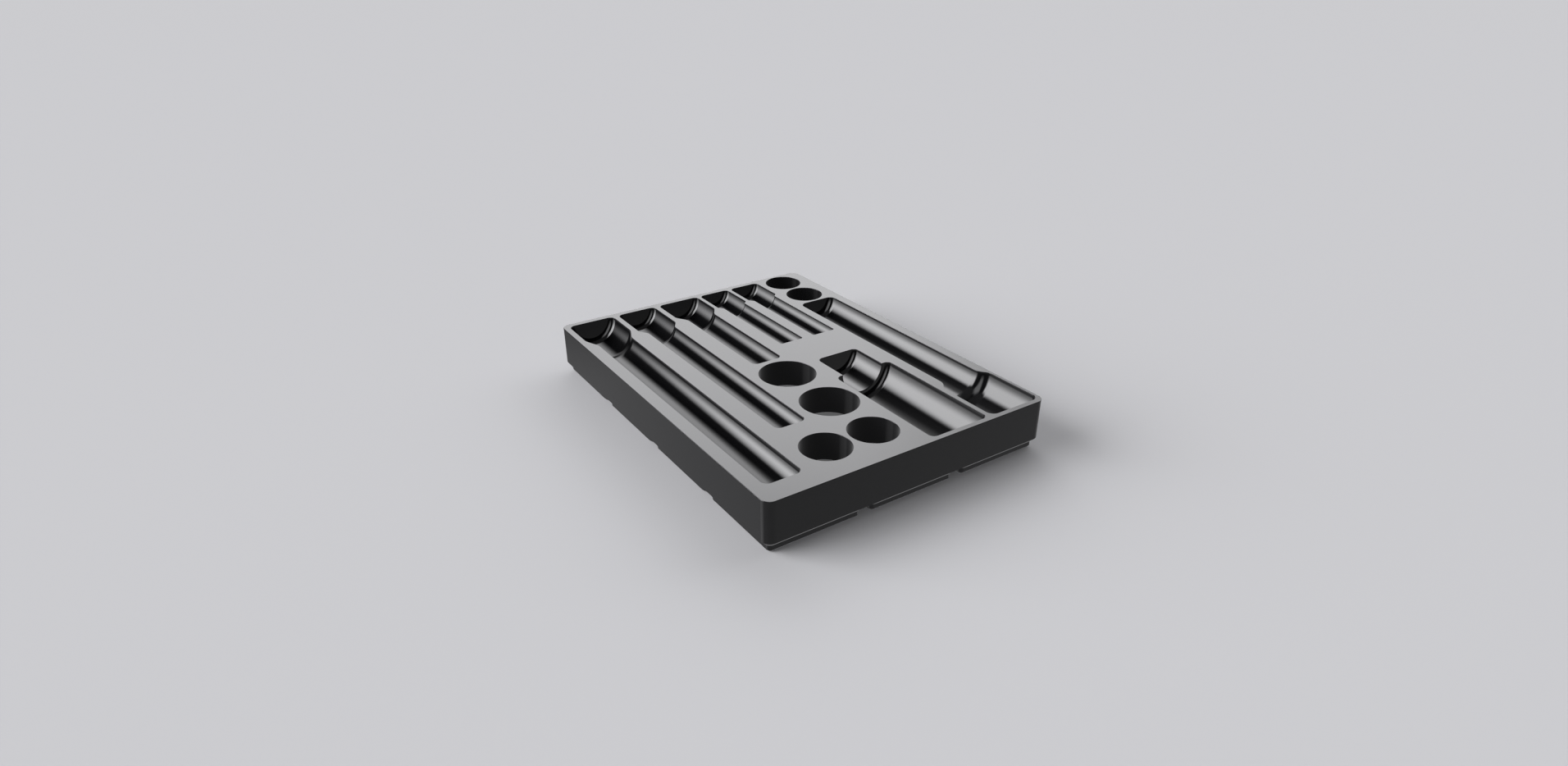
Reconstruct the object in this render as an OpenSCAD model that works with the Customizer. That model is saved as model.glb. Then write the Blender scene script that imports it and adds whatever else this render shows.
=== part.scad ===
// Socket holder: a one-piece drawer tray of three by four cells. Long sockets and tools lie in round
// grooves, and short sockets stand in round bores. Origin: centre of the feet's underside, +Z up.

/* [Tray] */
// Spacing of the cells of the drawer grid
cell_pitch = 42; // [42:0.5:50]
// Number of cells across the short side
cells_x = 3; // [3:1:5]
// Number of cells along the long side
cells_y = 4; // [4:1:6]
// Gap between this tray and its neighbours, and between its own feet
cell_gap = 0.5; // [0.2:0.1:1]
// Height of the block above its feet
block_h = 16.25; // [15:0.25:40]
// Radius of the tray's upright corners
corner_r = 3.75; // [2:0.25:4]

/* [Feet] */
// Radius of a foot's corners at the very bottom
foot_toe_r = 0.8; // [0.4:0.1:1.2]
// Height and width of the small slope at the bottom of a foot
foot_toe = 0.8; // [0.4:0.1:1.2]
// Height of the upright band of a foot
foot_band = 1.8; // [1:0.1:3]

/* [Walls between the pockets] */
// Wall behind the heads of the long grooves
back_wall = 2.75; // [2:0.25:6]
// Wall in front of the two wide pockets
front_wall = 2.25; // [2:0.25:6]
// Wall beside the widest groove, on the left
left_wall = 2.7; // [2:0.1:5]
// Wall beside the column of bores and the deep groove, on the right
right_wall = 1.25; // [1:0.05:4]
// Wall between the three large grooves, and between groove and bore in the middle column
web = 2.6; // [1.6:0.1:3]
// Wall between the slim grooves
slim_web = 1.85; // [1:0.05:2.4]
// Wall between the bores and the deep groove in the right-hand column
column_web = 1.3; // [1:0.1:3]
// Wall between the two wide pockets at the front
pocket_web = 2.1; // [1.2:0.1:5]
// Wall between the wide bores of the middle column
bore_web = 5.1; // [2:0.1:6]
// Wall between the two front bores
pair_web = 1.8; // [1:0.1:6]

/* [Long groove] */
// Radius of the head end
long_head_r = 10.46; // [9:0.02:11]
// Radius of the shaft
long_shaft_r = 7.53; // [6:0.01:8]
// Length of the head, up to the shoulder
long_head_len = 18.75; // [12:0.25:40]
// Whole length
long_len = 155.3; // [100:0.1:160]
// Slope of the shoulder, from the groove's axis
long_slope = 23; // [15:1:60]
// Rounding at both ends of the shoulder
long_blend = 8; // [1:0.5:12]
// Fillet at the foot of the two end walls
long_fillet = 2.6; // [0.5:0.1:4]

/* [Medium groove] */
// Radius of the head end
medium_head_r = 9.04; // [8:0.02:10]
// Radius of the shaft
medium_shaft_r = 6.34; // [5:0.01:7]
// Length of the head, up to the shoulder
medium_head_len = 21.65; // [12:0.05:40]
// Whole length
medium_len = 127.35; // [80:0.05:150]
// Slope of the shoulder, from the groove's axis
medium_slope = 32.5; // [15:0.5:60]
// Rounding at both ends of the shoulder
medium_blend = 3.5; // [1:0.5:8]
// Fillet at the foot of the two end walls
medium_fillet = 2.3; // [0.5:0.1:4]

/* [Short groove] */
// Radius of the head end
short_head_r = 10.02; // [9:0.02:11]
// Radius of the shaft
short_shaft_r = 6.68; // [5:0.01:8]
// Length of the head, up to the shoulder
short_head_len = 17.2; // [12:0.05:40]
// Whole length
short_len = 78.35; // [60:0.05:90]
// Slope of the shoulder, from the groove's axis
short_slope = 32; // [15:1:60]
// Rounding at both ends of the shoulder
short_blend = 4.5; // [1:0.5:9]
// Fillet at the foot of the two end walls
short_fillet = 2.3; // [0.5:0.1:4]

/* [Two slim grooves] */
// Radius of the head end
slim_head_r = 7.48; // [6:0.02:7.8]
// Radius of the shaft
slim_shaft_r = 5.62; // [4:0.01:6]
// Length of the head, up to the shoulder
slim_head_len = 17.5; // [12:0.05:40]
// Whole length
slim_len = 67.4; // [50:0.1:75]
// Slope of the shoulder, from the groove's axis
slim_slope = 44; // [15:1:60]
// Rounding at both ends of the shoulder
slim_blend = 1.3; // [0.3:0.1:2]
// Fillet at the foot of the end wall behind the head
slim_fillet = 2.2; // [0.5:0.1:3]
// Fillet at the foot of the end wall of the shaft
slim_end_fillet = 1; // [0.5:0.1:3]

/* [Deep groove on the right] */
// Radius of the wide pocket at the front
deep_head_r = 12.28; // [10:0.02:12.5]
// Radius of the shaft
deep_shaft_r = 9.12; // [7:0.02:9.5]
// Length of the wide pocket, up to the shoulder
deep_head_len = 25.8; // [15:0.05:60]
// Slope of the shoulder, from the groove's axis
deep_slope = 43; // [20:1:60]
// Rounding at both ends of the shoulder
deep_blend = 5.5; // [1:0.5:5.5]
// Fillet at the foot of the two end walls
deep_fillet = 3.1; // [0.5:0.1:4]

/* [Stepped groove in the front middle] */
// Radius of the wide pocket at the front
step_head_r = 13.4; // [11:0.1:13.8]
// Radius of the narrow end
step_shaft_r = 9.82; // [7:0.02:10.5]
// Length of the wide pocket, up to the step
step_head_len = 56.4; // [30:0.1:65]
// Whole length
step_len = 74.05; // [60:0.05:80]
// Fillet at the foot of the end walls and of the step
step_fillet = 2.4; // [0.5:0.1:3]

/* [Bores] */
// Radius of the two bores in the right-hand column
column_bore_r = 8.5; // [7:0.1:9]
// Depth of the two bores in the right-hand column
column_bore_depth = 10; // [6:0.5:13]
// Radius of the two wide bores in the middle column
wide_bore_r = 11.5; // [9:0.1:12]
// Depth of the two wide bores
wide_bore_depth = 11; // [6:0.5:13]
// Radius of the two front bores
front_bore_r = 9.5; // [8:0.1:10]
// Depth of the two front bores
front_bore_depth = 12; // [6:0.5:13]

/* [Hidden] */
$fn = 128;

// How far a cutting shape reaches past the face that it opens
overlap = 1;
// How far a shoulder's straight part ends inside its blends, so that no face thins out between them
bite = 0.001;

// Feet: three heights, measured from the bottom, and the half-widths there
cell_half = (cell_pitch - cell_gap) / 2;
foot_mid_r = foot_toe_r + foot_toe;
foot_flare = corner_r - foot_mid_r;
foot_h = foot_toe + foot_band + foot_flare;
corner_at = cell_half - corner_r;
top_z = foot_h + block_h;

// Outer size of the block
tray_w = cells_x * cell_pitch - cell_gap;
tray_l = cells_y * cell_pitch - cell_gap;

// Back row of grooves, from the left wall to the right
heads_y = tray_l / 2 - back_wall;
long_x = left_wall + long_head_r - tray_w / 2;
medium_x = long_x + long_head_r + web + medium_head_r;
short_x = medium_x + medium_head_r + web + short_head_r;
slim_x1 = short_x + short_head_r + slim_web + slim_head_r;
slim_x2 = slim_x1 + 2 * slim_head_r + slim_web;

// Right-hand column: two bores, then the deep groove down to the front wall
column_x = tray_w / 2 - right_wall - deep_head_r;
column_bore_y1 = tray_l / 2 - column_web - column_bore_r;
column_bore_y2 = column_bore_y1 - 2 * column_bore_r - column_web;
pockets_y = front_wall - tray_l / 2;
deep_len = column_bore_y2 - column_bore_r - column_web - pockets_y;

// Stepped groove, left of the deep one
step_x = column_x - deep_head_r - pocket_web - step_head_r;

// Middle column: three bores in front of the short groove, and the last one's neighbour
wide_bore_y1 = heads_y - short_len - web - wide_bore_r;
wide_bore_y2 = wide_bore_y1 - 2 * wide_bore_r - bore_web;
front_bore_y = wide_bore_y2 - wide_bore_r - bore_web - front_bore_r;
pair_x = short_x - 2 * front_bore_r - pair_web;

// Half-section of a foot, from its upright axis out to a corner radius or a half-width
function foot_section(inner) = [
    [0, 0],
    [inner + foot_toe_r, 0],
    [inner + foot_mid_r, foot_toe],
    [inner + foot_mid_r, foot_toe + foot_band],
    [inner + corner_r, foot_h],
    [0, foot_h]
];

// One wall-to-wall bar of a foot: the section on both sides, along Y
module foot_bar() {
    rotate([90, 0, 0])
        linear_extrude(height = 2 * corner_at, center = true) {
            polygon(foot_section(corner_at));
            mirror([1, 0]) polygon(foot_section(corner_at));
        }
}

// A foot that drops into one cell of the grid: sloped toe, upright band and flared top
module foot() {
    foot_bar();
    rotate([0, 0, 90]) foot_bar();
    for (x = [-corner_at, corner_at], y = [-corner_at, corner_at])
        translate([x, y, 0]) rotate_extrude() polygon(foot_section(0));
}

module feet() {
    for (i = [0 : cells_x - 1], j = [0 : cells_y - 1])
        translate([(i - (cells_x - 1) / 2) * cell_pitch, (j - (cells_y - 1) / 2) * cell_pitch, 0])
            foot();
}

// The block above the feet, with four round upright corners
module block() {
    side = tray_w - 2 * corner_r;
    end = tray_l - 2 * corner_r;
    translate([0, 0, foot_h]) {
        translate([-tray_w / 2, -end / 2, 0]) cube([tray_w, end, block_h]);
        translate([-side / 2, -tray_l / 2, 0]) cube([side, tray_l, block_h]);
        for (x = [-side / 2, side / 2], y = [-end / 2, end / 2])
            translate([x, y, 0]) cylinder(h = block_h, r = corner_r);
    }
}

// Outline of a groove beside its axis: X is the radius and Y runs from the head's end wall.
// The shoulder is a cone with a round blend at both ends, and each end wall has a fillet.
// The head's blend may be wider than the groove, so what would pass the axis is cut off.
module groove_outline(head_r, shaft_r, head_len, len, slope, blend, fillet, end_fillet) {
    run = (head_r - shaft_r) / tan(slope);
    tangent = blend * tan(slope / 2);
    head_end = head_len - tangent;
    shaft_start = head_len + run + tangent;
    head_centre = [head_r - blend, head_end];
    shaft_centre = [shaft_r + blend, shaft_start];
    spoke = (blend - bite) * [cos(slope), sin(slope)];
    difference() {
        union() {
            polygon([
                [0, 0],
                [head_r - fillet, 0],
                [head_r, fillet],
                [head_r, head_end],
                head_centre + spoke,
                shaft_centre - spoke,
                shaft_centre,
                [shaft_r, shaft_start],
                [shaft_r, len - end_fillet],
                [shaft_r - end_fillet, len],
                [0, len]
            ]);
            translate([head_r - fillet, fillet]) circle(r = fillet);
            translate([shaft_r - end_fillet, len - end_fillet]) circle(r = end_fillet);
            intersection() {
                translate(head_centre) circle(r = blend);
                square([head_r + blend, len]);
            }
        }
        translate(shaft_centre) circle(r = blend);
    }
}

// Outline of a groove with a square step in place of the sloped shoulder
module step_outline(head_r, shaft_r, head_len, len, fillet) {
    polygon([
        [0, 0],
        [head_r - fillet, 0],
        [head_r, fillet],
        [head_r, head_len - fillet],
        [head_r - fillet, head_len],
        [shaft_r, head_len],
        [shaft_r, len - fillet],
        [shaft_r - fillet, len],
        [0, len]
    ]);
    for (y = [fillet, head_len - fillet])
        translate([head_r - fillet, y]) circle(r = fillet);
    translate([shaft_r - fillet, len - fillet]) circle(r = fillet);
}

// Turns an outline about an axis that lies in the top face, so the groove is a half round.
// The outline runs from the point x, y towards the front, or towards the back when turned.
module groove(x, y, turned = false) {
    translate([x, y, top_z])
        rotate([turned ? -90 : 90, 0, 0])
            rotate([0, 0, turned ? -90 : 90])
                rotate_extrude() children();
}

module bore(x, y, r, depth) {
    translate([x, y, top_z - depth]) cylinder(h = depth + overlap, r = r);
}

module grooves() {
    groove(long_x, heads_y)
        groove_outline(long_head_r, long_shaft_r, long_head_len, long_len,
                       long_slope, long_blend, long_fillet, long_fillet);
    groove(medium_x, heads_y)
        groove_outline(medium_head_r, medium_shaft_r, medium_head_len, medium_len,
                       medium_slope, medium_blend, medium_fillet, medium_fillet);
    groove(short_x, heads_y)
        groove_outline(short_head_r, short_shaft_r, short_head_len, short_len,
                       short_slope, short_blend, short_fillet, short_fillet);
    for (x = [slim_x1, slim_x2])
        groove(x, heads_y)
            groove_outline(slim_head_r, slim_shaft_r, slim_head_len, slim_len,
                           slim_slope, slim_blend, slim_fillet, slim_end_fillet);
    groove(column_x, pockets_y, turned = true)
        groove_outline(deep_head_r, deep_shaft_r, deep_head_len, deep_len,
                       deep_slope, deep_blend, deep_fillet, deep_fillet);
    groove(step_x, pockets_y, turned = true)
        step_outline(step_head_r, step_shaft_r, step_head_len, step_len, step_fillet);
}

module bores() {
    for (y = [column_bore_y1, column_bore_y2])
        bore(column_x, y, column_bore_r, column_bore_depth);
    for (y = [wide_bore_y1, wide_bore_y2])
        bore(short_x, y, wide_bore_r, wide_bore_depth);
    for (x = [short_x, pair_x])
        bore(x, front_bore_y, front_bore_r, front_bore_depth);
}

module tray() {
    color([0.17, 0.17, 0.18])
        difference() {
            union() {
                block();
                feet();
            }
            grooves();
            bores();
        }
}

tray();
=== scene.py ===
# Socket holder: a black plastic drawer tray with round grooves, round bores and feet for a drawer grid
import math

import bpy
import numpy as np
from mathutils import Matrix, Vector
from mathutils.geometry import delaunay_2d_cdt


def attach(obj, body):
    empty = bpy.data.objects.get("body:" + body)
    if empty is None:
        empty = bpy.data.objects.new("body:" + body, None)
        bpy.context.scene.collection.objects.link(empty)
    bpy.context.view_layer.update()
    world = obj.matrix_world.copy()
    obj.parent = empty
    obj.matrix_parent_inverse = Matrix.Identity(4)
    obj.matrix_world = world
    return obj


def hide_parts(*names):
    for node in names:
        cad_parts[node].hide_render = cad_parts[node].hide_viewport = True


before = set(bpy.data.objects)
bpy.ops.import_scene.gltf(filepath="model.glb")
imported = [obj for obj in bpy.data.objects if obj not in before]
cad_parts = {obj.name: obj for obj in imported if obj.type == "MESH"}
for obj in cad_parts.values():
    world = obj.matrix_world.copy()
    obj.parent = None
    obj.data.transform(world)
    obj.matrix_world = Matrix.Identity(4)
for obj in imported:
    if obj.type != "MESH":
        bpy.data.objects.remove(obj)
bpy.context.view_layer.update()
print("frame loaded")


# Shader sockets as numbers: sums and products of these add the Math nodes that they need
class Field:
    def __init__(self, tree, socket=None):
        self.tree = tree
        self.socket = socket

    # Any node: its settings first, then the values or links of its sockets
    def node(self, kind, settings=None, inputs=None, output=0):
        made = self.tree.nodes.new(kind)
        for name, value in (settings or {}).items():
            setattr(made, name, value)
        for name, value in (inputs or {}).items():
            if isinstance(value, Field):
                self.tree.links.new(value.socket, made.inputs[name])
            else:
                made.inputs[name].default_value = value
        return Field(self.tree, made.outputs[output]) if made.outputs else None

    def maths(self, operation, first, second):
        return self.node("ShaderNodeMath", {"operation": operation}, {0: first, 1: second})

    def __add__(self, other):
        return self.maths("ADD", self, other)

    def __radd__(self, other):
        return self.maths("ADD", other, self)

    def __sub__(self, other):
        return self.maths("SUBTRACT", self, other)

    def __rsub__(self, other):
        return self.maths("SUBTRACT", other, self)

    def __mul__(self, other):
        return self.maths("MULTIPLY", self, other)

    def __rmul__(self, other):
        return self.maths("MULTIPLY", other, self)


# A new node material, and a Field to start its nodes from
def newMaterial(name):
    material = bpy.data.materials.new(name)
    material.use_nodes = True
    material.node_tree.nodes.clear()
    return material, Field(material.node_tree)


# A smooth rise from 0 to 1 while a value goes over an edge, which is a pair of values
def rise(value, edge):
    return value.node("ShaderNodeMapRange", {"interpolation_type": "SMOOTHSTEP"},
                      {"Value": value, "From Min": edge[0], "From Max": edge[1]})


# Smooth noise over a place, of about 0 to 1
def noise(place, scale, detail):
    return place.node("ShaderNodeTexNoise", {}, {"Vector": place, "Scale": scale, "Detail": detail})


# Black moulded plastic: an even sheen that is a little uneven, over a skin with a very fine grain
blackPlastic = {
    "tone": (0.0040, 0.0040, 0.0044, 1),
    "fadedTone": (0.0058, 0.0058, 0.0063, 1),
    "fadeScale": 46,         # patches per metre
    "roughness": 0.085,
    "roughnessShift": 0.02,
    "grainScale": 2600,      # grains per metre
    "grainHeight": 0.0000006,
    "flowScale": 260,        # slow unevenness of the skin
    "flowHeight": 0.0000005,
    "ior": 1.5,
}

# What differs on the floors and on the walls of the bores: the floors are matt, and the walls' lower IOR is
# painted shade, a dimmer reflection that stands in for the shade inside the bores
mattFloors = {"roughness": 0.55, "roughnessShift": 0.06, "grainHeight": 0.000003}
shadedBoreWalls = {"ior": 1.28}

# The tray's material slots: its own finish, the bores' floors and the bores' walls, whose dimmer reflection
# is painted shade
glossSlot, mattSlot, shadedWallSlot = 0, 1, 2


# Painted shade on the grooves' beds: an attribute takes the gloss away there, standing in for the shade
# that falls in the grooves. 0 keeps all of it, 1 leaves the bare tone
def makeBlackPlastic(name, look):
    material, start = newMaterial(name)
    place = start.node("ShaderNodeTexCoord", output="Object")
    fade = noise(place, look["fadeScale"], detail=4)
    grain = noise(place, look["grainScale"], detail=3)
    flow = noise(place, look["flowScale"], detail=2)
    tone = start.node("ShaderNodeMix", {"data_type": "RGBA"},
                      {"Factor": fade, "A": look["tone"], "B": look["fadedTone"]}, "Result")
    rough = look["roughness"] + (fade + grain - 1.0) * look["roughnessShift"]
    relief = start.node("ShaderNodeBump", {},
                        {"Height": grain * look["grainHeight"] + flow * look["flowHeight"],
                         "Strength": 1.0, "Distance": 1.0}, "Normal")
    skin = start.node("ShaderNodeBsdfPrincipled", {},
                      {"Base Color": tone, "Roughness": rough, "Normal": relief, "IOR": look["ior"]})
    bare = start.node("ShaderNodeBsdfDiffuse", {}, {"Color": tone, "Normal": relief})
    # Painted shade: where the attribute is high, the bare diffuse tone replaces the glossy skin
    paintedShade = start.node("ShaderNodeAttribute", {"attribute_name": "paintedShade"}, output="Fac")
    both = start.node("ShaderNodeMixShader", {}, {0: paintedShade, 1: skin, 2: bare})
    start.node("ShaderNodeOutputMaterial", {}, {"Surface": both})
    return material


# What the camera sees past the floor
backdrop = {"tone": (0.6, 0.6, 0.62, 1)}

# Pale matt floor, which runs out into the backdrop's tone between the two distances of its fade, in metres
paleFloor = {"tone": (0.5, 0.5, 0.51, 1), "size": 12.0, "drop": 0.00004, "fade": (0.7, 3.5)}


def makePaleFloor(look):
    material, start = newMaterial("paleFloor")
    place = start.node("ShaderNodeTexCoord", output="Object")
    away = start.node("ShaderNodeVectorMath", {"operation": "LENGTH"}, {0: place}, "Value")
    skin = start.node("ShaderNodeBsdfDiffuse", {}, {"Color": look["tone"]})
    plain = start.node("ShaderNodeEmission", {}, {"Color": backdrop["tone"]})
    both = start.node("ShaderNodeMixShader", {}, {0: rise(away, look["fade"]), 1: skin, 2: plain})
    start.node("ShaderNodeOutputMaterial", {}, {"Surface": both})
    half = look["size"] / 2
    mesh = bpy.data.meshes.new("floor")
    mesh.from_pydata([(-half, -half, -look["drop"]), (half, -half, -look["drop"]),
                      (half, half, -look["drop"]), (-half, half, -look["drop"])], [], [(0, 1, 2, 3)])
    floor = bpy.data.objects.new("floor", mesh)
    floor.visible_glossy = False
    bpy.context.scene.collection.objects.link(floor)
    mesh.materials.append(material)
    print("floor made")


# The tray's sizes in millimetres, the same as the CAD model's but for the front bores' depth. A groove starts
# at its head's end wall, and its last entry is painted shade: the share of the gloss that its bed loses,
# fitted to the photograph.
tray = {
    "cells": (3, 4), "pitch": 42.0, "cellHalf": 20.75, "cornerR": 3.75, "footTop": 4.75, "top": 21.0,
    "footOffsets": [(0.0, 0.0), (0.8, 0.0), (1.6, 0.8), (1.6, 2.6), (3.75, 4.75)],
    "footEdges": [0, 0.12, 0.12, 0.12, 0],
    "edge": 0.14,            # rounding of the rims and of the top's outer edge
    "columns": 72,           # faces across a groove's half turn
    "edgeRows": 6,           # points across a rounded edge
    "cornerPoints": 13,      # points round a corner of the block or of a foot
    "boreStep": 3.75,        # degrees from point to point round a bore
    "paintedShadePower": 2.5,      # how fast the painted shade on a groove's bed dies away up its flanks
    "arcStep": 5.0,          # most degrees from point to point in the arcs of an outline or a profile
    "grooves": {
        "long": {
            "at": (-49.59, 81.0), "way": -1, "headR": 10.46, "shaftR": 7.53, "headLen": 18.75,
            "length": 155.3, "slope": 23.0, "blends": (8.0, 8.0), "fillets": (2.6, 2.6), "paintedShade": 0.38},
        "medium": {
            "at": (-27.49, 81.0), "way": -1, "headR": 9.04, "shaftR": 6.34, "headLen": 21.65,
            "length": 127.35, "slope": 32.5, "blends": (3.5, 3.5), "fillets": (2.3, 2.3), "paintedShade": 0.38},
        "short": {
            "at": (-5.83, 81.0), "way": -1, "headR": 10.02, "shaftR": 6.68, "headLen": 17.2,
            "length": 78.35, "slope": 32.0, "blends": (4.5, 4.5), "fillets": (2.3, 2.3), "paintedShade": 0.38},
        "slimLeft": {
            "at": (13.52, 81.0), "way": -1, "headR": 7.48, "shaftR": 5.62, "headLen": 17.5,
            "length": 67.4, "slope": 44.0, "blends": (1.3, 1.3), "fillets": (2.2, 1.0), "paintedShade": 0.2},
        "slimRight": {
            "at": (30.33, 81.0), "way": -1, "headR": 7.48, "shaftR": 5.62, "headLen": 17.5,
            "length": 67.4, "slope": 44.0, "blends": (1.3, 1.3), "fillets": (2.2, 1.0), "paintedShade": 0.2},
        "deep": {
            "at": (49.22, -81.5), "way": 1, "headR": 12.28, "shaftR": 9.12, "headLen": 25.8,
            "length": 127.35, "slope": 43.0, "blends": (5.5, 5.5), "fillets": (3.1, 3.1), "paintedShade": 0.08},
        "stepped": {
            "at": (21.44, -81.5), "way": 1, "headR": 13.4, "shaftR": 9.82, "headLen": 56.4,
            "length": 74.05, "slope": 90.0, "blends": (2.4, 0.25), "fillets": (2.4, 2.4), "paintedShade": 0.0},
    },
    # x, y, radius, depth. The last two, at the front, are 11 deep, as the sliver of floor in the photograph
    # shows, and 12 in the CAD model.
    "bores": [(49.22, 73.95, 8.5, 10.0), (49.22, 55.65, 8.5, 10.0), (-5.83, -11.45, 11.5, 11.0),
              (-5.83, -39.55, 11.5, 11.0), (-5.83, -65.65, 9.5, 11.0), (-26.63, -65.65, 9.5, 11.0)],
}


# Straight legs through the corner points, with each corner turned into the arc of its radius that touches
# both legs. The normals are the heading turned by 90 degrees, to the left (side 1) or the right (side -1).
def roundedPath(corners, radii, side):
    corners = np.array(corners, float)
    legs = np.diff(corners, axis=0)
    legs = legs / np.linalg.norm(legs, axis=1)[:, None]
    headings = np.arctan2(legs[:, 1], legs[:, 0])
    points = [corners[:1]]
    turns = [headings[:1]]
    for k in range(1, len(corners) - 1):
        turn = (headings[k] - headings[k - 1] + math.pi) % (2 * math.pi) - math.pi
        count = max(3, int(abs(math.degrees(turn)) / tray["arcStep"]) + 2)
        sweep = headings[k - 1] + turn * np.linspace(0, 1, count)
        signed = radii[k] * np.sign(turn)
        start = corners[k] - legs[k - 1] * radii[k] * math.tan(abs(turn) / 2)
        centre = start + signed * np.array([-legs[k - 1][1], legs[k - 1][0]])
        points.append(centre - signed * np.stack([-np.sin(sweep), np.cos(sweep)], axis=1))
        turns.append(sweep)
    points.append(corners[-1:])
    turns.append(headings[-1:])
    turns = np.concatenate(turns)
    return np.concatenate(points), side * np.stack([-np.sin(turns), np.cos(turns)], axis=1)


# Corner numbers of the quads of a grid with this many rows and columns, closed round in the columns or not
def gridFaces(rows, columns, closed=False):
    across = columns if closed else columns - 1
    row, column = np.meshgrid(np.arange(rows - 1), np.arange(across), indexing="ij")
    right = (column + 1) % columns
    corners = [row * columns + column, row * columns + right,
               (row + 1) * columns + right, (row + 1) * columns + column]
    return np.stack([c.ravel() for c in corners], axis=1)


# A rim: a plan loop with plan normals that point into the material is carried through a quarter turn of the
# edge's radius, from the upright wall (height top - edge) out to the level top
def rimPatch(loop, outward):
    turn = np.radians(np.linspace(0, 90, tray["edgeRows"]))[:, None, None]
    edge = tray["edge"]
    flat = loop[None] + outward[None] * edge * (1 - np.cos(turn))
    height = np.broadcast_to(tray["top"] - edge + edge * np.sin(turn), flat.shape[:2] + (1,))
    points = np.concatenate([flat, height], axis=2)
    upright = np.broadcast_to(np.sin(turn), height.shape)
    normals = np.concatenate([-outward[None] * np.cos(turn), upright], axis=2)
    faces = gridFaces(tray["edgeRows"], len(loop), True)
    return (points.reshape(-1, 3), normals.reshape(-1, 3), faces), flat[-1]


# A groove: radius r and distance s run along the rounded outline, and the angle a runs from rim to rim, with
# x = centre + r cos a, y = start + way s, z = top - r sin a. Each end wall is a fan from its top middle.
def grooveParts(size):
    run = (size["headR"] - size["shaftR"]) / math.tan(math.radians(size["slope"]))
    outline, inward = roundedPath(
        [(0, 0), (size["headR"], 0), (size["headR"], size["headLen"]),
         (size["shaftR"], size["headLen"] + run), (size["shaftR"], size["length"]), (0, size["length"])],
        [0, size["fillets"][0], size["blends"][0], size["blends"][1], size["fillets"][1], 0], 1)
    r, s = outline[1:-1, 0, None], outline[1:-1, 1, None]
    outOfAxis, alongAxis = inward[1:-1, 0, None], inward[1:-1, 1, None]
    low = np.arcsin(tray["edge"] / r)
    turn = low + (math.pi - 2 * low) * np.linspace(0, 1, tray["columns"] + 1)
    middle, start = size["at"]
    way = size["way"]
    places = np.broadcast_arrays(middle + r * np.cos(turn), start + way * s, tray["top"] - r * np.sin(turn))
    points = np.stack(places, axis=2)
    facings = np.broadcast_arrays(outOfAxis * np.cos(turn), way * alongAxis, -outOfAxis * np.sin(turn))
    normals = np.stack(facings, axis=2)
    rows, columns = turn.shape
    parts = [(points.reshape(-1, 3), normals.reshape(-1, 3), gridFaces(rows, columns),
              glossSlot, size["paintedShade"])]
    ends = []
    for row, facing, reach in ((0, way, 0.0), (-1, -way, size["length"])):
        hub = np.array([[middle, start + way * reach, tray["top"] - tray["edge"]]])
        ring = np.concatenate([hub, points[row]])
        step = np.arange(1, columns)
        parts.append((ring, np.tile([0.0, facing, 0.0], (len(ring), 1)),
                      np.stack([np.zeros_like(step), step, step + 1], axis=1)))
        ends.append((hub[:, :2], np.array([[0.0, -facing]])))
    right, left = points[:, 0, :2], points[::-1, -1, :2]
    across, along = -outOfAxis, -way * alongAxis
    loop = np.concatenate([ends[0][0], right, ends[1][0], left])
    outward = np.concatenate([ends[0][1], np.hstack([across, along]), ends[1][1],
                              np.hstack([-across, along])[::-1]])
    rim, edgeLoop = rimPatch(loop, outward)
    return parts + [rim], edgeLoop


# A bore: the angle round it and the height, an upright wall with painted shade (a lower IOR that dims its
# reflection) and a flat floor with the matt finish
def boreParts(x, y, radius, depth):
    turn = np.radians(np.arange(0, 360, tray["boreStep"]))
    outward = np.stack([np.cos(turn), np.sin(turn)], axis=1)
    loop = np.array([x, y]) + radius * outward
    heights = np.array([tray["top"] - tray["edge"], tray["top"] - depth])
    wall = np.concatenate([np.broadcast_to(loop, (2,) + loop.shape),
                           np.broadcast_to(heights[:, None, None], (2, len(loop), 1))], axis=2)
    wallNormals = np.broadcast_to(np.hstack([-outward, 0 * outward[:, :1]]), wall.shape)
    parts = [(wall.reshape(-1, 3), wallNormals.reshape(-1, 3), gridFaces(2, len(loop), True), shadedWallSlot),
             (wall[1], np.tile([0.0, 0.0, 1.0], (len(loop), 1)), np.arange(len(loop))[None], mattSlot)]
    rim, edgeLoop = rimPatch(loop, outward)
    return parts + [rim], edgeLoop


# A rectangle's outline with round corners, from the corner arcs' centres out by an offset, with stops on the
# straight sides. Returns the centres' loop and the outward directions, so any offset follows from both.
def roundedRectangle(halfX, halfY, stopsX, stopsY):
    quarter = np.radians(np.linspace(0, 90, tray["cornerPoints"]))
    bases, directions = [], []
    sides = ((halfX, halfY, 0, stopsX[::-1]), (-halfX, halfY, 90, stopsY[::-1]),
             (-halfX, -halfY, 180, stopsX), (halfX, -halfY, 270, stopsY))
    for baseX, baseY, start, stops in sides:
        turn = quarter + math.radians(start)
        bases.append(np.tile([baseX, baseY], (len(turn), 1)))
        directions.append(np.round(np.stack([np.cos(turn), np.sin(turn)], axis=1), 12))  # exact on the sides
        for stop in stops:
            bases.append(np.array([[stop, baseY] if start in (0, 180) else [baseX, stop]]))
            directions.append(directions[-1][-1:])
    return np.concatenate(bases), np.concatenate(directions)


# Points are welded where they agree to this many decimals of a millimetre
weldDigits = 4


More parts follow.
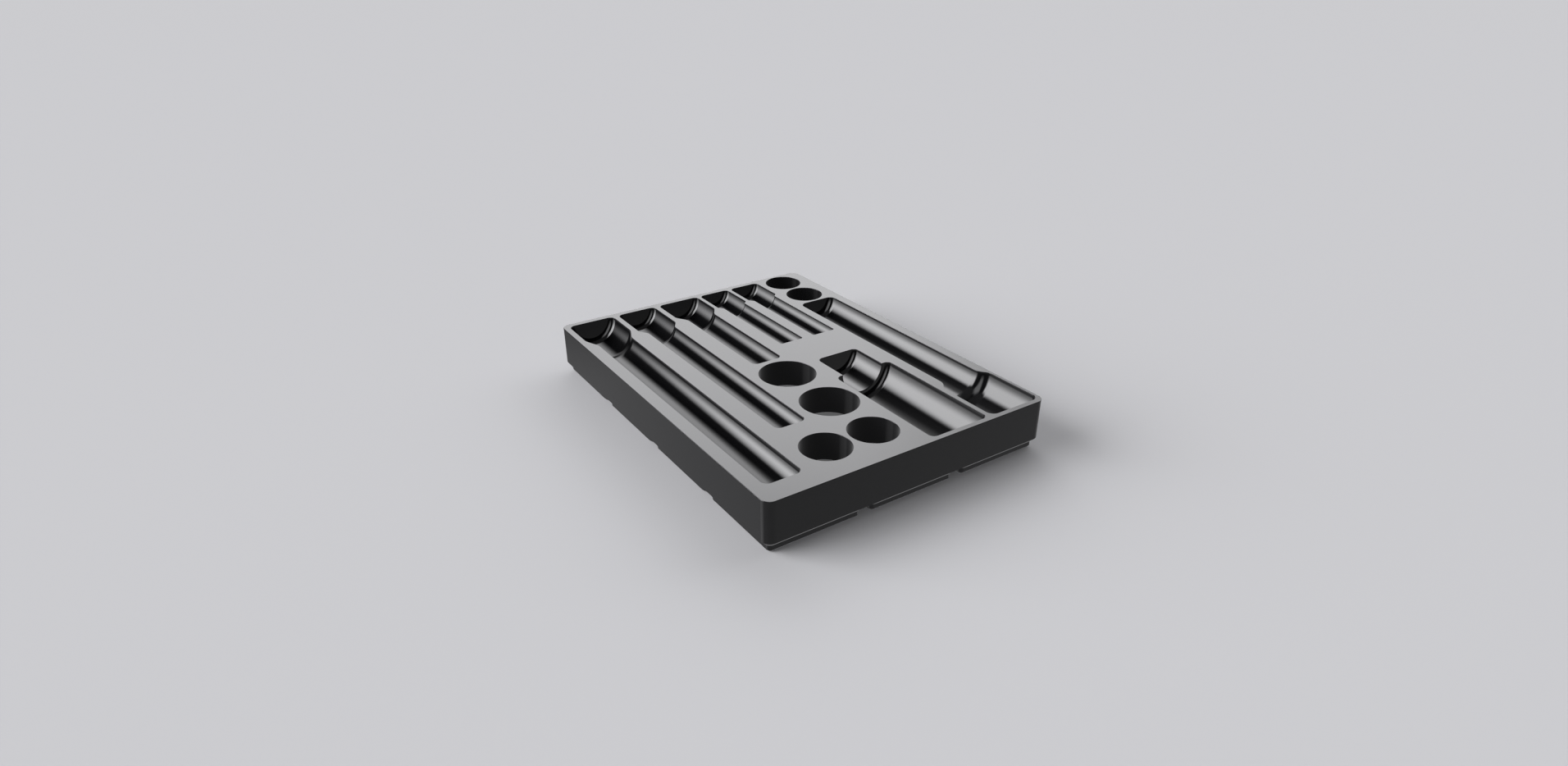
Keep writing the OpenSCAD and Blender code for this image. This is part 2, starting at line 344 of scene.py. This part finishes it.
# A level sheet between an outer loop and the loops in it, as triangles. A triangle whose centre lies in one
# of the inner loops is left out: a line from it crosses that loop an odd number of times.
def sheetPatch(outer, holes, height, facing):
    loops = [outer] + holes
    points, lookup = np.unique(np.round(np.concatenate(loops), weldDigits), axis=0, return_inverse=True)
    lookup = lookup.ravel()
    edges = []
    first = 0
    for loop in loops:
        ids = lookup[first:first + len(loop)]
        edges.append(np.sort(np.stack([ids, np.roll(ids, -1)], axis=1), axis=1))
        first += len(loop)
    edges = np.unique(np.concatenate(edges), axis=0)
    made = delaunay_2d_cdt([Vector(p) for p in points], edges.tolist(), [], 0, 0.1 ** (weldDigits + 1))
    source = np.array([ids[0] if ids else -1 for ids in made[3]])
    faces = source[np.array(made[2])]
    centres = points[faces].mean(axis=1)
    kept = np.ones(len(faces), bool)
    for loop in holes:
        ahead = np.roll(loop, -1, axis=0)
        above = (loop[None, :, 1] > centres[:, 1, None]) != (ahead[None, :, 1] > centres[:, 1, None])
        span = ahead[:, 1] - loop[:, 1]
        span = np.where(span == 0, 1.0, span)
        share = (centres[:, 1, None] - loop[None, :, 1]) / span
        crossing = loop[None, :, 0] + share * (ahead - loop)[None, :, 0]
        inside = (above & (centres[:, 0, None] < crossing)).sum(axis=1) % 2 == 1
        kept &= ~inside
    level = np.concatenate([points, np.full((len(points), 1), height)], axis=1)
    return level, np.tile([0.0, 0.0, facing], (len(level), 1)), faces[kept]


# A plan loop carried along a profile: base + outward * offset at each height, with normals that lean outwards
# and rise as the profile does
def carried(base, outward, offsets, heights, leans, rises):
    flat = base[None] + outward[None] * offsets[:, None, None]
    upright = np.ones((1, len(base), 1))
    points = np.concatenate([flat, heights[:, None, None] * upright], axis=2)
    normals = np.concatenate([outward[None] * leans[:, None, None], rises[:, None, None] * upright], axis=2)
    return points.reshape(-1, 3), normals.reshape(-1, 3), gridFaces(len(offsets), len(base), True)


# The block's walls and the feet: plan loops, each carried along a profile of offset and height
def wallAndFeetParts():
    arcAt = tray["cellHalf"] - tray["cornerR"]
    centresX = (np.arange(tray["cells"][0]) - (tray["cells"][0] - 1) / 2) * tray["pitch"]
    centresY = (np.arange(tray["cells"][1]) - (tray["cells"][1] - 1) / 2) * tray["pitch"]
    stopsX = np.sort(np.concatenate([centresX - arcAt, centresX + arcAt]))
    stopsY = np.sort(np.concatenate([centresY - arcAt, centresY + arcAt]))
    base, outward = roundedRectangle(stopsX[-1], stopsY[-1], stopsX[1:-1], stopsY[1:-1])
    turn = np.radians(np.linspace(0, 90, tray["edgeRows"]))
    edge = tray["edge"]
    offsets = np.concatenate([[tray["cornerR"]], tray["cornerR"] - edge * (1 - np.cos(turn))])
    heights = np.concatenate([[tray["footTop"]], tray["top"] - edge + edge * np.sin(turn)])
    leans = np.concatenate([[1.0], np.cos(turn)])
    rises = np.concatenate([[0.0], np.sin(turn)])
    parts = [carried(base, outward, offsets, heights, leans, rises)]
    topLoop = base + outward * (tray["cornerR"] - edge)
    profile, facing = roundedPath(tray["footOffsets"], tray["footEdges"], -1)
    footBase, footOut = roundedRectangle(arcAt, arcAt, np.array([]), np.array([]))
    feet = []
    for x in centresX:
        for y in centresY:
            centre = footBase + np.array([x, y])
            parts.append(carried(centre, footOut, *profile[1:].T, *facing[1:].T))
            toe = centre + footOut * profile[1, 0]
            parts.append((np.hstack([toe, np.zeros((len(toe), 1))]), np.tile([0.0, 0.0, -1.0], (len(toe), 1)),
                          np.arange(len(toe))[None]))
            feet.append(centre + footOut * tray["cornerR"])
    parts.append(sheetPatch(base + outward * tray["cornerR"], feet, tray["footTop"], -1.0))
    return parts, topLoop


# All patches as one closed mesh: corners that meet are merged, each face is turned to agree with its own
# normals, and those normals are kept for the shading. A patch may leave out its slot and its painted shade,
# which are then 0. The painted shade is its amount times the normal's upward part to a power.
def joinedMesh(name, parts):
    points = np.concatenate([part[0] for part in parts])
    normals = np.concatenate([part[1] for part in parts])
    merged, lookup = np.unique(np.round(points, weldDigits), axis=0, return_inverse=True)
    lookup = lookup.ravel()
    faces, cornerNormals, slots, paintedShading = [], [], [], []
    first = 0
    for own, ownNormals, quads, slot, paintedShade in [part + (glossSlot, 0.0)[len(part) - 3:] for part in parts]:
        corners = own[quads]
        spun = np.cross(corners, np.roll(corners, -1, axis=1)).sum(axis=1)
        backward = (spun * ownNormals[quads].sum(axis=1)).sum(axis=1) < 0
        quads = np.where(backward[:, None], quads[:, ::-1], quads) + first
        faces += lookup[quads].tolist()
        slots += [slot] * len(quads)
        cornerNormals.append(normals[quads].reshape(-1, 3))
        # Painted shade, strongest where the normal points up, on the beds of the grooves
        paintedShading.append(paintedShade * np.clip(cornerNormals[-1][:, 2], 0, 1) ** tray["paintedShadePower"])
        first += len(own)
    mesh = bpy.data.meshes.new(name)
    mesh.from_pydata((merged / 1000).tolist(), [], faces)
    if mesh.validate():
        print("the mesh", name, "had faulty faces")
    mesh.polygons.foreach_set("use_smooth", np.ones(len(mesh.polygons), bool))
    mesh.polygons.foreach_set("material_index", np.array(slots, dtype=np.int32))
    mesh.attributes.new("paintedShade", "FLOAT", "CORNER").data.foreach_set("value", np.concatenate(paintedShading))
    cornerNormals = np.concatenate(cornerNormals)
    cornerNormals /= np.linalg.norm(cornerNormals, axis=1)[:, None]
    mesh.normals_split_custom_set(cornerNormals.tolist())
    return mesh


def makeTray():
    parts, topLoop = wallAndFeetParts()
    mouths = []
    for size in tray["grooves"].values():
        own, mouth = grooveParts(size)
        parts += own
        mouths.append(mouth)
    for x, y, radius, depth in tray["bores"]:
        own, mouth = boreParts(x, y, radius, depth)
        parts += own
        mouths.append(mouth)
    parts.append(sheetPatch(topLoop, mouths, tray["top"], 1.0))
    mesh = joinedMesh("trayBody", parts)
    body = bpy.data.objects.new("trayBody", mesh)
    bpy.context.scene.collection.objects.link(body)
    mesh.materials.append(makeBlackPlastic("blackPlastic", blackPlastic))
    mesh.materials.append(makeBlackPlastic("mattBlackPlastic", blackPlastic | mattFloors))
    # The bores' walls: painted shade, a copy of the plastic with a lower IOR that reflects less
    mesh.materials.append(makeBlackPlastic("shadedBlackPlastic", blackPlastic | shadedBoreWalls))
    body.visible_glossy = False
    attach(body, "root")
    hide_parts("tray")
    print("tray made,", len(mesh.polygons), "faces")


# The studio's soft lights, by direction: azimuth in degrees from +Y towards +X, and elevation. Each light has
# its radiance and its left, right, bottom and top edges, and an edge is the pair of angles between which the
# light comes up or dies away.
studio = {
    "tallWindow": (7.4, (-96, -80), (-45, -28.5), (-13, 13), (35, 53)),
    "windowSill": (2.2, (-96, -80), (-45, -28.5), (-19, -12), (35, 53)),
    "windowFoot": (0.45, (-88, -72), (-52, -38), (-50, -38), (-24, -14)),
    "sideWindow": (2.5, (-172, -156), (-140, -122), (-18, 6), (34, 56)),
    "farWall": (1.6, (-5, 24), (38, 52), (0, 36), (32, 48)),
    "wideWall": (1.2, (-5, 24), (100, 125), (0, 36), (32, 48)),
    "wallFoot": (0.75, (-5, 24), (100, 125), (-16, 6), (32, 48)),
    "upperWall": (0.65, (-5, 24), (100, 125), (0, 36), (45, 70)),
    "ceiling": (0.2, (-200, -190), (190, 200), (40, 60), (100, 110)),
    "ground": (0.34, (-200, -190), (10, 26), (-110, -100), (-27, -17)),
    "farGround": (0.215, (10, 26), (50, 66), (-110, -100), (-26, -15)),
    "wideGround": (0.34, (50, 66), (190, 200), (-110, -100), (-27, -17)),
}
lightTone = (1.0, 1.0, 1.02, 1)


# The world's light is the sum of the soft lights, and each is the product of its four edges. The lights stay
# out of the picture, where a plain pale backdrop stands in for them.
def makeStudio(lights):
    world = bpy.data.worlds.new("studio")
    world.use_nodes = True
    world.node_tree.nodes.clear()
    bpy.context.scene.world = world
    start = Field(world.node_tree)
    toward = start.node("ShaderNodeTexCoord", output="Generated")
    x, y, z = [start.node("ShaderNodeSeparateXYZ", {}, {"Vector": toward}, axis) for axis in "XYZ"]
    azimuth = start.maths("ARCTAN2", x, y) * math.degrees(1)
    elevation = start.node("ShaderNodeMath", {"operation": "ARCSINE"}, {0: z}) * math.degrees(1)
    glows = []
    for radiance, left, right, bottom, top in lights.values():
        across = rise(azimuth, left) * (1 - rise(azimuth, right))
        glows.append(radiance * across * rise(elevation, bottom) * (1 - rise(elevation, top)))
    shine = start.node("ShaderNodeBackground", {}, {"Color": lightTone, "Strength": sum(glows[1:], glows[0])})
    seen = start.node("ShaderNodeLightPath", output="Is Camera Ray")
    plain = start.node("ShaderNodeBackground", {}, {"Color": backdrop["tone"]})
    both = start.node("ShaderNodeMixShader", {}, {0: seen, 1: shine, 2: plain})
    start.node("ShaderNodeOutputWorld", {}, {"Surface": both})
    bpy.context.scene.view_settings.view_transform = "Standard"
    print("studio light made")


# The camera's place in metres, two of its axes, its lens and sensor in millimetres, and how near and how far
# it sees in metres. The third axis, up, follows from the other two.
cameraPlace = {
    "at": (-0.190866, -0.284657, 0.183799),
    "right": (0.8303, -0.5573, 0.0),
    "back": (-0.4972, -0.7409, 0.4517),
    "lens": 21.228,
    "sensor": 36.0,
    "near": 0.01,
    "far": 50,
}


def makeCamera(place):
    back = Vector(place["back"]).normalized()
    right = Vector(place["right"]).normalized()
    up = back.cross(right).normalized()
    data = bpy.data.cameras.new("camera")
    data.lens = place["lens"]
    data.sensor_width = place["sensor"]
    data.sensor_fit = "HORIZONTAL"
    data.clip_start = place["near"]
    data.clip_end = place["far"]
    camera = bpy.data.objects.new("camera", data)
    turned = Matrix((right, up, back)).transposed().to_4x4()
    camera.matrix_world = Matrix.Translation(place["at"]) @ turned
    bpy.context.scene.collection.objects.link(camera)
    bpy.context.scene.camera = camera
    print("camera made")


makeCamera(cameraPlace)
makePaleFloor(paleFloor)
makeTray()
makeStudio(studio)
